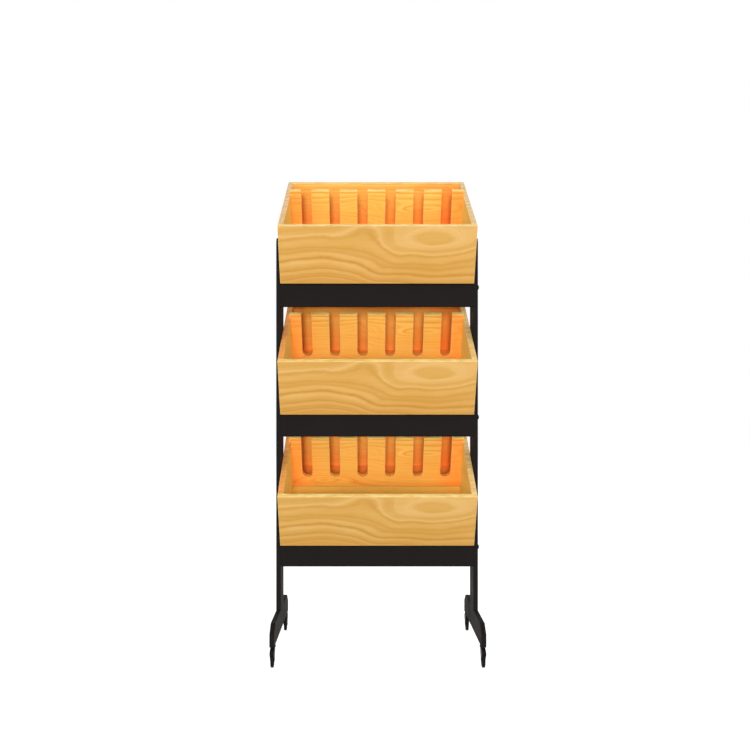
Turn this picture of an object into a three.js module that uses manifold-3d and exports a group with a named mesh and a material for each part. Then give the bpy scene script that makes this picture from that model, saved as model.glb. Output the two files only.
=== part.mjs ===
// A free-standing wine bottle rack: three tilted wooden crates, one above the other, between two
// flat uprights. Each upright stands on a long foot with a swivel caster near each end.
// Millimetres. +X is to the right, +Y goes back, away from the person in front, +Z is up.
// The origin is on the floor, under the middle of the whole rack.

import * as THREE from 'three';
import { mergeVertices } from 'three/addons/utils/BufferGeometryUtils.js';
import Module from 'manifold-3d';

const wasm = await Module();
wasm.setup();

// Tiers
const tierNames = ['lower', 'middle', 'upper'];
const lowestFrontHeight = 409; // floor to the top front edge of the lowest crate
const tierSpacing = 338;
const tilt = THREE.MathUtils.degToRad(30); // the crates lean down towards the front

// Crates, measured square to their own boards
const crateWidth = 500;
const crateDepth = 377;
const boardHeight = 155;
const frontThickness = 14;
const sideThickness = 14;
const backThickness = 14;
const floorThickness = 5;
const crateJointGap = 0.3;

// Slotted panel that holds the bottle necks
const panelThickness = 16;
const panelSetback = 255.6; // outside of the front board to the front of the panel
const panelRise = 11; // how far the panel stands above the tops of the other boards
const grooveDepth = 3; // the panel's ends sit in grooves in the side boards
const slotCount = 6;
const slotEndMargin = 43.5; // inside of a side board to the middle of the nearest slot
const slotWidth = 28;
const slotDepth = 128;

// Uprights and feet
const postThickness = 12;
const postDepth = 80;
const postSetback = 97.3; // a crate's top front edge to the front of the uprights
const postTopDrop = 10; // the uprights end this far under the top crate's front edge
const postCornerRadius = 18;
const sideClearance = 0.5; // between a crate and an upright
const footThickness = 12;
const footHeight = 52.5;
const footFrontReach = 166;
const footRearReach = 142;
const footChamferLength = 31; // the feet's top corners are cut off at a slant
const footChamferDrop = 21;

// Bars between the uprights, and the rails under each crate
const frontBarThickness = 12;
const frontBarDrop = 191.5; // a crate's top front edge to the bottom of its front bar
const rearBarThickness = 12;
const rearBarHeight = 45;
const seatGap = 0.3;
const railFlange = 20;
const railThickness = 2;
const railEndInset = 12; // the rails stop this far short of the crate's back

// Bolts that hold the front bars
const boltRadius = 3;
const boltGrip = 28; // length of bolt inside the bar
const boltDrop = 17.5; // below the front top edge of the bar
const boltHoleClearance = 0.1;
const domeHeadRadius = 6.4;
const domeHeadHeight = 3;
const sunkHeadRadius = 6;
const sunkHeadDepth = 3.2;

// Bolts up through the feet into the uprights
const footBoltRadius = 3;
const footBoltSpacing = 44;
const footBoltGrip = 26; // length of bolt inside the upright
const footBoltHeadRadius = 4.8;
const footBoltHeadHeight = 5;
const footBoltRecess = 8; // depth of the hole that hides the head

// Casters
const casterHeight = 51.5;
const casterInset = 25; // end of the foot to the swivel axis
const casterTrail = 10; // swivel axis to axle
const wheelRadius = 20;
const wheelWidth = 7;
const wheelHubRadius = 6;
const wheelRimDepth = 4.5;
const wheelDish = 1.2;
const treadRounding = 1.4;
const axleRadius = 2.5;
const axleHeadRadius = 4;
const axleHeadHeight = 0.4;
const runningClearance = 0.1;
const cheekThickness = 1.2;
const wheelSideClearance = 0.55;
const cheekEndRadius = 6;
const cheekLipDepth = 5; // depth of the cheeks at the hood's lip
const crownThickness = 2;
const crownRearReach = 9;
const hoodAngle = THREE.MathUtils.degToRad(52); // how far the hood reaches round the wheel from its top
const stemRadius = 4;
const stemLength = 26;
const raceRadius = 7.5;
const raceHeight = 4.2;
const raceChamfer = 1;
const swivelClearance = 0.3;
const kingpinRadius = 2.5;
const kingpinHeadRadius = 3.8;
const kingpinHeadHeight = 1.2;

// Facets round a full circle
const wheelFacets = 36;
const roundFacets = 16;
const arcFacets = 8;
const domeFacets = 5;
const treadFacets = 2;

const cutOvershoot = 1; // how far a cutter runs past the face that it cuts
const weldDistance = 1e-4; // points closer than this count as one

// Values that follow from the sizes above
const topFrontHeight = lowestFrontHeight + (tierNames.length - 1) * tierSpacing;
const postInnerX = crateWidth / 2 + sideClearance;
const postOuterX = postInnerX + postThickness;
const postFrontY = postSetback;
const postRearY = postFrontY + postDepth;
const footTopHeight = casterHeight + footHeight;
const postHeight = topFrontHeight - postTopDrop - footTopHeight;
const footFrontY = postFrontY - footFrontReach;
const footRearY = postRearY + footRearReach;
const footCentreX = postOuterX - footThickness / 2;
const frontStemY = footFrontY + casterInset;
const rearStemY = footRearY - casterInset;
const forkHalfWidth = wheelWidth / 2 + wheelSideClearance + cheekThickness;
const slotPitch = (crateWidth - 2 * (sideThickness + slotEndMargin)) / (slotCount - 1);
const crateBackY = crateDepth * Math.cos(tilt) + boardHeight * Math.sin(tilt);
const raceBottom = casterHeight - raceHeight;
const crownTop = raceBottom - swivelClearance;
const crownBottom = crownTop - crownThickness;
const kingpinHeadTop = crownBottom - swivelClearance;
const hoodRadius = crownTop - wheelRadius; // outside of the hood, measured from the axle
const casterReach = casterTrail + Math.max(wheelRadius, hoodRadius * Math.sin(hoodAngle));
const frontmostY = Math.min(0, frontStemY - casterReach);
const rackCentreY = (frontmostY + Math.max(crateBackY, rearStemY + casterReach)) / 2;
const rackCentreX = domeHeadHeight / 2;

// Materials
const wood = (color) => new THREE.MeshStandardMaterial({ color, roughness: 0.6, metalness: 0 });
const black = (color, roughness, metalness) =>
  new THREE.MeshStandardMaterial({ color, roughness, metalness });
const blackPaint = () => black(0x22201f, 0.7, 0.1);
const blackSteel = () => black(0x2a2a2c, 0.5, 0.6);
const blackRubber = () => black(0x1b1b1c, 0.8, 0);
const outerWood = () => wood(0xe4af61);
const innerWood = () => wood(0xf0a04b);

const rack = new THREE.Group();
const place = new THREE.Group();
place.position.set(-rackCentreX, -rackCentreY, 0);
rack.add(place);

function addMesh(parent, name, geometry, material) {
  const mesh = new THREE.Mesh(geometry, material);
  mesh.name = name;
  parent.add(mesh);
  return mesh;
}

// A closed solid from a geometry, with only its positions left
function toSolid(geometry) {
  const bare = geometry.clone();
  bare.deleteAttribute('normal');
  bare.deleteAttribute('uv');
  const merged = mergeVertices(bare, weldDistance);
  return new wasm.Manifold(
    new wasm.Mesh({
      numProp: 3,
      vertProperties: new Float32Array(merged.attributes.position.array),
      triVerts: new Uint32Array(merged.index.array),
    })
  );
}

function toGeometry(solid) {
  const mesh = solid.getMesh();
  const geometry = new THREE.BufferGeometry();
  geometry.setAttribute('position', new THREE.BufferAttribute(mesh.vertProperties, 3));
  geometry.setIndex(new THREE.BufferAttribute(mesh.triVerts, 1));
  geometry.computeVertexNormals();
  return geometry;
}

function cutAway(geometry, cutters) {
  return toGeometry(cutters.reduce((solid, cutter) => solid.subtract(toSolid(cutter)), toSolid(geometry)));
}

function joinAll(geometries) {
  const [first, ...others] = geometries.map(toSolid);
  return toGeometry(others.reduce((solid, other) => solid.add(other), first));
}

// A box from its two far corners
function boxBetween([x0, y0, z0], [x1, y1, z1]) {
  const box = new THREE.BoxGeometry(x1 - x0, y1 - y0, z1 - z0);
  return box.translate((x0 + x1) / 2, (y0 + y1) / 2, (z0 + z1) / 2);
}

// A profile drawn in Y and Z, pulled along X from x0 to x1
function pullAlongX(shape, x0, x1) {
  const solid = new THREE.ExtrudeGeometry(shape, {
    depth: x1 - x0,
    bevelEnabled: false,
    curveSegments: arcFacets,
  });
  const axes = new THREE.Matrix4().makeBasis(
    new THREE.Vector3(0, 1, 0),
    new THREE.Vector3(0, 0, 1),
    new THREE.Vector3(1, 0, 0)
  );
  return solid.applyMatrix4(axes).translate(x0, 0, 0);
}

// A profile drawn in X and Z, pulled along Y from y0 to y1
function pullAlongY(shape, y0, y1) {
  const solid = new THREE.ExtrudeGeometry(shape, {
    depth: y1 - y0,
    bevelEnabled: false,
    curveSegments: arcFacets,
  });
  return solid.rotateX(Math.PI / 2).translate(0, y1, 0);
}

// A turned piece about the Z axis, from [radius, height] points that start and end on the axis
function turned(points, facets = roundFacets) {
  const profile = points.map(([radius, height]) => new THREE.Vector2(radius, height));
  return new THREE.LatheGeometry(profile, facets).rotateX(Math.PI / 2);
}

function rod(radius, z0, z1, facets = roundFacets) {
  return turned([[0, z0], [radius, z0], [radius, z1], [0, z1]], facets);
}

// A rectangle in the profile plane with its own radius at each corner: bottom left, bottom right,
// top right, top left
function roundedRectangle(x0, y0, x1, y1, [bl, br, tr, tl]) {
  const shape = new THREE.Shape();
  const corner = (x, y, radius, start) => {
    if (radius > 0) shape.absarc(x, y, radius, start, start + Math.PI / 2, false);
    else shape.lineTo(x, y);
  };
  shape.moveTo(x0 + bl, y0);
  corner(x1 - br, y0 + br, br, -Math.PI / 2);
  corner(x1 - tr, y1 - tr, tr, 0);
  corner(x0 + tl, y1 - tl, tl, Math.PI / 2);
  corner(x0 + bl, y0 + bl, bl, Math.PI);
  return shape;
}

// The slotted panel's outline: a board with round-bottomed slots open at the top
function slottedOutline(halfWidth, bottom, top) {
  const shape = new THREE.Shape();
  const slotRadius = slotWidth / 2;
  const slotFoot = top - slotDepth + slotRadius;
  shape.moveTo(-halfWidth, bottom);
  shape.lineTo(halfWidth, bottom);
  shape.lineTo(halfWidth, top);
  for (let i = slotCount - 1; i >= 0; i--) {
    const centre = (i - (slotCount - 1) / 2) * slotPitch;
    shape.lineTo(centre + slotRadius, top);
    shape.lineTo(centre + slotRadius, slotFoot);
    shape.absarc(centre, slotFoot, slotRadius, 0, -Math.PI, true);
    shape.lineTo(centre - slotRadius, top);
  }
  shape.lineTo(-halfWidth, top);
  shape.closePath();
  return shape;
}

// A crate in its own frame: the origin is the middle of the front board's top front edge, +Y runs
// back along the floor and +Z stands square to it
function addCrate(parent, tier) {
  const innerX = crateWidth / 2 - sideThickness;
  const panelBackY = panelSetback + panelThickness;
  const sideStartY = frontThickness + crateJointGap;
  const panelHalf = innerX + grooveDepth - crateJointGap;

  addMesh(
    parent,
    `${tier}_crate_front_board`,
    boxBetween([-crateWidth / 2, 0, -boardHeight], [crateWidth / 2, frontThickness, 0]),
    outerWood()
  );
  for (const [side, sign] of [['left', -1], ['right', 1]]) {
    const nearX = Math.min(sign * innerX, (sign * crateWidth) / 2);
    const farX = Math.max(sign * innerX, (sign * crateWidth) / 2);
    const board = boxBetween([nearX, sideStartY, -boardHeight], [farX, crateDepth, 0]);
    const grooveX = [sign * (innerX - grooveDepth), sign * (innerX + grooveDepth)].sort((a, b) => a - b);
    const groove = boxBetween(
      [grooveX[0], panelSetback - crateJointGap, floorThickness - boardHeight],
      [grooveX[1], panelBackY + crateJointGap, panelRise]
    );
    addMesh(parent, `${tier}_crate_${side}_side`, cutAway(board, [groove]), outerWood());
  }
  addMesh(
    parent,
    `${tier}_crate_back_board`,
    boxBetween(
      [crateJointGap - innerX, crateDepth - backThickness, -boardHeight],
      [innerX - crateJointGap, crateDepth, 0]
    ),
    innerWood()
  );
  addMesh(
    parent,
    `${tier}_crate_floor`,
    boxBetween(
      [crateJointGap - innerX, sideStartY, -boardHeight],
      [innerX - crateJointGap, crateDepth - backThickness - crateJointGap, floorThickness - boardHeight]
    ),
    innerWood()
  );
  const outline = slottedOutline(panelHalf, floorThickness + crateJointGap - boardHeight, panelRise);
  const panel = pullAlongY(outline, panelSetback, panelBackY);
  addMesh(parent, `${tier}_crate_slotted_panel`, panel, innerWood());
}

// Height of the plane under a crate, as far back as y, for a crate whose top front edge is at z
function undersideHeight(z, y, drop) {
  return z + y * Math.tan(tilt) - (boardHeight + drop) / Math.cos(tilt);
}

// A bar between the uprights whose top edge is bevelled to the crates' tilt
function bevelledBar(frontY, thickness, bottom, topAtFront) {
  const shape = new THREE.Shape();
  shape.moveTo(frontY, bottom);
  shape.lineTo(frontY + thickness, bottom);
  shape.lineTo(frontY + thickness, topAtFront + thickness * Math.tan(tilt));
  shape.lineTo(frontY, topAtFront);
  shape.closePath();
  return pullAlongX(shape, -postInnerX, postInnerX);
}

// Where the bolts of one front bar lie
function frontBoltPlace(z) {
  return {
    y: postFrontY + frontBarThickness / 2,
    z: undersideHeight(z, postFrontY, seatGap) - boltDrop,
  };
}

function boltHole(z, radius = boltRadius + boltHoleClearance) {
  const { y, z: height } = frontBoltPlace(z);
  const reach = postOuterX + domeHeadHeight;
  return rod(radius, -reach, reach).rotateY(Math.PI / 2).translate(0, y, height);
}

// A bolt with its head at the top, its seat at height 0 and its shank below
function domeBolt() {
  const shank = postThickness + boltGrip;
  const points = [[0, -shank], [boltRadius, -shank], [boltRadius, 0], [domeHeadRadius, 0]];
  for (let i = 1; i <= domeFacets; i++) {
    const angle = (i / domeFacets) * (Math.PI / 2);
    points.push([domeHeadRadius * Math.cos(angle), domeHeadHeight * Math.sin(angle)]);
  }
  points[points.length - 1][0] = 0;
  return turned(points);
}

function sunkBolt() {
  const shank = postThickness + boltGrip;
  return turned([
    [0, -shank],
    [boltRadius, -shank],
    [boltRadius, -sunkHeadDepth],
    [sunkHeadRadius, 0],
    [0, 0],
  ]);
}

function sunkSeat() {
  const grow = boltHoleClearance;
  return turned([
    [0, -sunkHeadDepth - grow],
    [boltRadius + grow, -sunkHeadDepth - grow],
    [sunkHeadRadius + grow, 0],
    [sunkHeadRadius + grow, cutOvershoot],
    [0, cutOvershoot],
  ]);
}

// Turns a piece made about +Z so that its top points along -X or +X
const pointOutward = (geometry, sign) => geometry.rotateY((sign * Math.PI) / 2);

const footBoltYs = [-1, 1].map((s) => (postFrontY + postRearY) / 2 + (s * footBoltSpacing) / 2);

// An upright with a foot under it
function addSideFrame(side, sign) {
  const innerX = sign * postInnerX;
  const outerX = sign * postOuterX;
  const [x0, x1] = [innerX, outerX].sort((a, b) => a - b);
  const postX = (innerX + outerX) / 2;
  const footX = sign * footCentreX;
  const top = footTopHeight + postHeight;
  const postOutline = roundedRectangle(postFrontY, footTopHeight, postRearY, top, [
    0,
    0,
    postCornerRadius,
    postCornerRadius,
  ]);
  const cutters = tierNames.map((_, i) => boltHole(lowestFrontHeight + i * tierSpacing));
  if (side === 'left') {
    tierNames.forEach((_, i) => {
      const { y, z } = frontBoltPlace(lowestFrontHeight + i * tierSpacing);
      cutters.push(pointOutward(sunkSeat(), sign).translate(outerX, y, z));
    });
  }
  const clear = boltHoleClearance;
  for (const y of footBoltYs) {
    const tip = footTopHeight + footBoltGrip + clear;
    cutters.push(rod(footBoltRadius + clear, footTopHeight - cutOvershoot, tip).translate(postX, y, 0));
  }
  addMesh(place, `${side}_post`, cutAway(pullAlongX(postOutline, x0, x1), cutters), blackPaint());

  const chamferFoot = footTopHeight - footChamferDrop;
  const footOutline = new THREE.Shape();
  footOutline.moveTo(footFrontY, casterHeight);
  footOutline.lineTo(footRearY, casterHeight);
  footOutline.lineTo(footRearY, chamferFoot);
  footOutline.lineTo(footRearY - footChamferLength, footTopHeight);
  footOutline.lineTo(footFrontY + footChamferLength, footTopHeight);
  footOutline.lineTo(footFrontY, chamferFoot);
  footOutline.closePath();
  const foot = pullAlongX(footOutline, footX - footThickness / 2, footX + footThickness / 2);
  const under = casterHeight - cutOvershoot;
  const over = footTopHeight + cutOvershoot;
  const footCutters = [frontStemY, rearStemY].map((y) =>
    rod(stemRadius + clear, under, casterHeight + stemLength + clear).translate(footX, y, 0)
  );
  for (const y of footBoltYs) {
    footCutters.push(rod(footBoltRadius + clear, under, over).translate(postX, y, 0));
    const seat = casterHeight + footBoltRecess;
    footCutters.push(rod(footBoltHeadRadius + clear, under, seat).translate(postX, y, 0));
  }
  addMesh(place, `${side}_foot`, cutAway(foot, footCutters), blackPaint());

  ['front', 'rear'].forEach((end, i) => {
    const seat = casterHeight + footBoltRecess;
    const tip = footTopHeight + footBoltGrip;
    const bolt = turned([
      [0, seat - footBoltHeadHeight],
      [footBoltHeadRadius, seat - footBoltHeadHeight],
      [footBoltHeadRadius, seat],
      [footBoltRadius, seat],
      [footBoltRadius, tip],
      [0, tip],
    ]);
    addMesh(place, `${side}_${end}_foot_bolt`, bolt.translate(postX, footBoltYs[i], 0), blackSteel());
  });
}

// The bars, bolts and rails that carry one crate
function addTierSupport(tier, z) {
  const frontTop = undersideHeight(z, postFrontY, seatGap);
  const frontBar = bevelledBar(postFrontY, frontBarThickness, z - frontBarDrop, frontTop);
  addMesh(place, `${tier}_front_bar`, cutAway(frontBar, frontBoltBores(z)), blackPaint());

  const rearFrontY = postRearY - rearBarThickness;
  const rearTop = undersideHeight(z, rearFrontY, railFlange + 2 * seatGap);
  addMesh(
    place,
    `${tier}_rear_bar`,
    bevelledBar(rearFrontY, rearBarThickness, rearTop - rearBarHeight, rearTop),
    blackPaint()
  );

  const { y, z: boltZ } = frontBoltPlace(z);
  addMesh(
    place,
    `${tier}_left_bar_bolt`,
    pointOutward(sunkBolt(), -1).translate(-postOuterX, y, boltZ),
    blackSteel()
  );
  addMesh(
    place,
    `${tier}_right_bar_bolt`,
    pointOutward(domeBolt(), 1).translate(postOuterX, y, boltZ),
    blackSteel()
  );
}

// Blind holes in both ends of a front bar
function frontBoltBores(z) {
  const { y, z: height } = frontBoltPlace(z);
  const depth = boltGrip + boltHoleClearance;
  const radius = boltRadius + boltHoleClearance;
  return [-1, 1].map((sign) =>
    pointOutward(rod(radius, -depth, cutOvershoot), sign).translate(sign * postInnerX, y, height)
  );
}

// Two angle rails under a crate's side boards, in the crate's own frame
function addRails(parent, tier) {
  const barRearY = postFrontY + frontBarThickness;
  const top = -boardHeight - seatGap;
  const start = (barRearY + seatGap + top * Math.sin(tilt)) / Math.cos(tilt);
  const end = crateDepth - railEndInset;
  for (const [side, sign] of [['left', -1], ['right', 1]]) {
    const outer = postInnerX - seatGap;
    const shape = new THREE.Shape();
    const corners = [
      [outer, top],
      [outer, top - railFlange],
      [outer - railThickness, top - railFlange],
      [outer - railThickness, top - railThickness],
      [outer - railFlange, top - railThickness],
      [outer - railFlange, top],
    ];
    const ordered = sign > 0 ? corners : corners.map(([x, y]) => [-x, y]).reverse();
    shape.moveTo(...ordered[0]);
    ordered.slice(1).forEach((point) => shape.lineTo(...point));
    shape.closePath();
    addMesh(parent, `${tier}_${side}_rail`, pullAlongY(shape, start, end), blackPaint());
  }
}

// The stem stays in the foot: a shank, a race under the foot, and a headed pin that the fork turns on
function casterStem() {
  return turned([
    [0, kingpinHeadTop - kingpinHeadHeight],
    [kingpinHeadRadius, kingpinHeadTop - kingpinHeadHeight],
    [kingpinHeadRadius, kingpinHeadTop],
    [kingpinRadius, kingpinHeadTop],
    [kingpinRadius, raceBottom],
    [raceRadius - raceChamfer, raceBottom],
    [raceRadius, raceBottom + raceChamfer],
    [raceRadius, casterHeight],
    [stemRadius, casterHeight],
    [stemRadius, casterHeight + stemLength],
    [0, casterHeight + stemLength],
  ]);
}

// The fork hangs from the swivel axis, with its axle ahead of it, towards -Y. Its top runs forward
// as a hood round the wheel, and a cheek on each side comes down to the axle.
function casterFork() {
  const axleY = -casterTrail;
  const lip = Math.PI / 2 + hoodAngle;
  const hood = new THREE.Shape();
  hood.moveTo(crownRearReach, crownBottom);
  hood.lineTo(crownRearReach, crownTop);
  hood.lineTo(axleY, crownTop);
  hood.absarc(axleY, wheelRadius, hoodRadius, Math.PI / 2, lip, false);
  hood.absarc(axleY, wheelRadius, hoodRadius - crownThickness, lip, Math.PI / 2, true);
  hood.closePath();

  const cheek = new THREE.Shape();
  cheek.moveTo(crownRearReach, crownTop);
  cheek.lineTo(axleY, crownTop);
  cheek.absarc(axleY, wheelRadius, hoodRadius, Math.PI / 2, lip, false);
  cheek.absarc(axleY, wheelRadius, cheekEndRadius, Math.PI, 2 * Math.PI, false);
  cheek.lineTo(crownRearReach, crownTop - cheekLipDepth);
  cheek.closePath();
  const parts = [
    pullAlongX(hood, -forkHalfWidth, forkHalfWidth),
    pullAlongX(cheek, -forkHalfWidth, cheekThickness - forkHalfWidth),
    pullAlongX(cheek, forkHalfWidth - cheekThickness, forkHalfWidth),
  ];
  const reach = forkHalfWidth + cutOvershoot;
  const axleHole = rod(axleRadius + runningClearance, -reach, reach)
    .rotateY(Math.PI / 2)
    .translate(0, axleY, wheelRadius);
  const kingpinHole = rod(
    kingpinRadius + runningClearance,
    crownBottom - cutOvershoot,
    crownTop + cutOvershoot
  );
  return cutAway(joinAll(parts), [axleHole, kingpinHole]);
}

// The axle: a pin with a flat head outside each cheek
function casterAxle() {
  const seat = forkHalfWidth + runningClearance;
  const head = seat + axleHeadHeight;
  return turned([
    [0, -head],
    [axleHeadRadius, -head],
    [axleHeadRadius, -seat],
    [axleRadius, -seat],
    [axleRadius, seat],
    [axleHeadRadius, seat],
    [axleHeadRadius, head],
    [0, head],
  ])
    .rotateY(Math.PI / 2)
    .translate(0, -casterTrail, wheelRadius);
}

// The wheel: hub, dished web and rounded tread, bored for the axle
function casterWheel() {
  const half = wheelWidth / 2;
  const bore = (axleRadius + runningClearance) / Math.cos(Math.PI / wheelFacets);
  const rim = wheelRadius - wheelRimDepth;
  const side = [
    [bore, half],
    [wheelHubRadius, half],
    [wheelHubRadius + wheelDish, half - wheelDish],
    [rim - wheelDish, half - wheelDish],
    [rim, half],
    [wheelRadius - treadRounding, half],
  ];
  for (let i = 1; i <= treadFacets; i++) {
    const angle = (i / treadFacets) * (Math.PI / 2);
    side.push([
      wheelRadius - treadRounding * (1 - Math.sin(angle)),
      half - treadRounding * (1 - Math.cos(angle)),
    ]);
  }
  const underside = side.map(([radius, height]) => [radius, -height]);
  return turned([...underside, ...side.reverse(), underside[0]], wheelFacets)
    .rotateY(Math.PI / 2)
    .translate(0, -casterTrail, wheelRadius);
}

function addCaster(name, x, y, turn) {
  const caster = new THREE.Group();
  caster.position.set(x, y, 0);
  caster.rotation.z = turn;
  place.add(caster);
  addMesh(caster, `${name}_caster_stem`, casterStem(), blackSteel());
  addMesh(caster, `${name}_caster_fork`, casterFork(), blackSteel());
  addMesh(caster, `${name}_caster_axle`, casterAxle(), blackSteel());
  addMesh(caster, `${name}_caster_wheel`, casterWheel(), blackRubber());
}

addSideFrame('left', -1);
addSideFrame('right', 1);
tierNames.forEach((tier, i) => {
  const z = lowestFrontHeight + i * tierSpacing;
  addTierSupport(tier, z);
  const tilted = new THREE.Group();
  tilted.position.set(0, 0, z);
  tilted.rotation.x = tilt;
  place.add(tilted);
  addCrate(tilted, tier);
  addRails(tilted, tier);
});
for (const [side, sign] of [['left', -1], ['right', 1]]) {
  addCaster(`front_${side}`, sign * footCentreX, frontStemY, 0);
  addCaster(`rear_${side}`, sign * footCentreX, rearStemY, Math.PI);
}

export default rack;
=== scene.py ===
"""A wine bottle display rack: three tilted wooden crates in a black steel frame on swivel casters.

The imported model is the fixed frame. Every crate board, slotted panel, frame member, bolt and caster part is
made here as a surface worked out from its profile, with eased edges, and gets its own wood, paint or
steel."""

import math

import bpy
import numpy as np
from bpy.props import FloatProperty, FloatVectorProperty, IntProperty, PointerProperty
from mathutils import Matrix, Vector


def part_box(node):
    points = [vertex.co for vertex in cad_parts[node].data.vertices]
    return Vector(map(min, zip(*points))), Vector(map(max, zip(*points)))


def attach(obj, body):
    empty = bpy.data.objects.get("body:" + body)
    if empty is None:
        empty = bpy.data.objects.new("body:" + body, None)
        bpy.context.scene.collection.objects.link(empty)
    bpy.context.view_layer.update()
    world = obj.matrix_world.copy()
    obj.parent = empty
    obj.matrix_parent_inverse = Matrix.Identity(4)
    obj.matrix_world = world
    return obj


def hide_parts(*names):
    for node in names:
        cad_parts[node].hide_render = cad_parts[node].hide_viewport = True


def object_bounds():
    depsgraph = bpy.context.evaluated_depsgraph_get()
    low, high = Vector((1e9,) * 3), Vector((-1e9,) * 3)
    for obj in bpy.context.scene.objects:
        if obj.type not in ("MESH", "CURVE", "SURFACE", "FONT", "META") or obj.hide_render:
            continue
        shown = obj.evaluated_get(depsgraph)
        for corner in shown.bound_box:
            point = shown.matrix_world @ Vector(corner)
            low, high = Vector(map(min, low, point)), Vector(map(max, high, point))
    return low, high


bl_info = {
    "name": "Wine Bottle Display Rack",
    "version": (1, 0, 0),
    "blender": (4, 5, 0),
    "location": "View3D > Sidebar > Wine Rack",
    "description": "Builds the boards, frame, casters, finishes and stage of a three-tier wine bottle rack",
    "category": "Object",
}

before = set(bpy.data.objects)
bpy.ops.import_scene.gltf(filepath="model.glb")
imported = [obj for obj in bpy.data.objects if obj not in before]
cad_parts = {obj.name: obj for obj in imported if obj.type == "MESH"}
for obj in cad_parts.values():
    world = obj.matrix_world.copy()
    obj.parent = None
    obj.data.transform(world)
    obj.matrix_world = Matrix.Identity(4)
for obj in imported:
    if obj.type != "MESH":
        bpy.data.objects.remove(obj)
cad_corners = [list(corner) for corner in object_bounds()]

TIERS = ("lower", "middle", "upper")
SIDES = ("left", "right")
ENDS = ("front", "rear")
TILT = math.radians(30)
STAND = "stand"
MM = 0.001
SHARP = math.radians(40)  # edges that turn more than this stay crisp


# Places and sizes that come from the frame


def node_points(node):
    """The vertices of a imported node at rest, one row each, in metres."""
    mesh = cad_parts[node].data
    points = np.empty(len(mesh.vertices) * 3, np.float32)
    mesh.vertices.foreach_get("co", points)
    return points.reshape(-1, 3).astype(float)


def tier_origin(tier):
    """The middle of the top front edge of a crate's front board, its foremost line."""
    points = node_points(f"{tier}_crate_front_board")
    foremost = points[points[:, 1].argmin()]
    return np.array([(points[:, 0].min() + points[:, 0].max()) / 2, foremost[1], foremost[2]])


def tilt_matrix():
    """The turn from a crate's own axes to the row's: about X, by the crates' tilt."""
    cos, sin = math.cos(TILT), math.sin(TILT)
    return np.array([[1, 0, 0], [0, cos, -sin], [0, sin, cos]])


def crate_box(tier, node):
    """The lowest and highest corner of a node in its crate's own axes."""
    points = (node_points(f"{tier}_{node}") - tier_origin(tier)) @ tilt_matrix()
    return points.min(0), points.max(0)


def row_box(node):
    """The lowest and highest corner of a node in the row's axes, as arrays."""
    low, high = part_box(node)
    return np.array(low), np.array(high)


def row_middle(node):
    """The middle of a node's box in the row's axes."""
    low, high = row_box(node)
    return (low + high) / 2


def row_half(node):
    """Half of each side of a node's box in the row's axes."""
    low, high = row_box(node)
    return (high - low) / 2


# Settings


def linear(red, green, blue):
    """A colour as it shows on a screen, each part from 0 to 255, as light."""
    parts = np.array([red, green, blue]) / 255
    return tuple(np.where(parts <= 0.04045, parts / 12.92, ((parts + 0.055) / 1.055) ** 2.4))


def colour(name, description, shown):
    return FloatVectorProperty(
        name=name, description=description, size=3, min=0, max=1, subtype="COLOR", default=linear(*shown)
    )


def length(name, description, millimetres):
    return FloatProperty(
        name=name, description=description, default=millimetres * MM, min=0, unit="LENGTH", precision=4
    )


def number(name, description, default):
    return FloatProperty(name=name, description=description, default=default)


class RackWoodSettings(bpy.types.PropertyGroup):
    """Sizes and colours of the crates' boards, with the painted light, shade and highlights inside the crates
    and on the edges.
    """

    ease: length("Edge rounding", "Radius of the eased edges of every board", 0.9)
    groove_gap: length("Groove gap", "Room round the slotted panel's ends in their grooves", 0.3)
    slot_count: IntProperty(name="Slots", description="Bottle necks that a crate holds", default=6, min=1)
    slot_pitch: length("Slot pitch", "Distance from one slot to the next", 77)
    slot_width: length("Slot width", "Width of a slot in the panel", 28)
    slot_depth: length("Slot depth", "Depth of a slot from the panel's top", 128)
    outer_pale: colour("Outside pale", "Early wood of the outer faces", (224, 180, 110))
    outer_middle: colour("Outside middle", "Body colour of the outer faces", (210, 160, 79))
    outer_dark: colour("Outside dark", "Late wood lines of the outer faces", (190, 134, 50))
    # the inner tones are brighter and more orange than the outer ones: painted bounce light inside the crates
    inner_pale: colour("Inside pale", "Early wood of the inner faces", (249, 204, 108))
    inner_middle: colour("Inside middle", "Body colour of the inner faces", (243, 183, 82))
    inner_dark: colour("Inside dark", "Late wood lines of the inner faces", (230, 130, 38))
    # painted light: the side boards and floor inside are lightened towards this tone to make up for their
    # shade
    inner_painted_light: colour("Inside light", "Tone of the side boards and floor inside", (255, 224, 118))
    # painted shade: the deep orange tone of the inner faces low in the crate, behind the slotted panel and at
    # its ends
    inner_painted_shade: colour("Inside deep", "Inner faces low in the crate", (255, 116, 34))
    edge_pale: colour("Edge", "Sawn top edges of the boards", (255, 226, 158))
    edge_shade: colour("Edge bands", "What the darker bands of the edges keep of their tone", (232, 214, 188))
    # the next three are painted light on the top edges: grey in the top light, warm in the shade, a bright
    # highlight
    edge_lit_grey: colour("Edge grey", "Tone of the upper crate's side tops", (240, 206, 158))
    edge_shaded_warm: colour("Edge warm", "Tone of the other crates' side tops", (255, 172, 84))
    edge_painted_highlight: colour("Edge bright", "Tone of the slotted panels' tops", (255, 234, 140))


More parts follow.
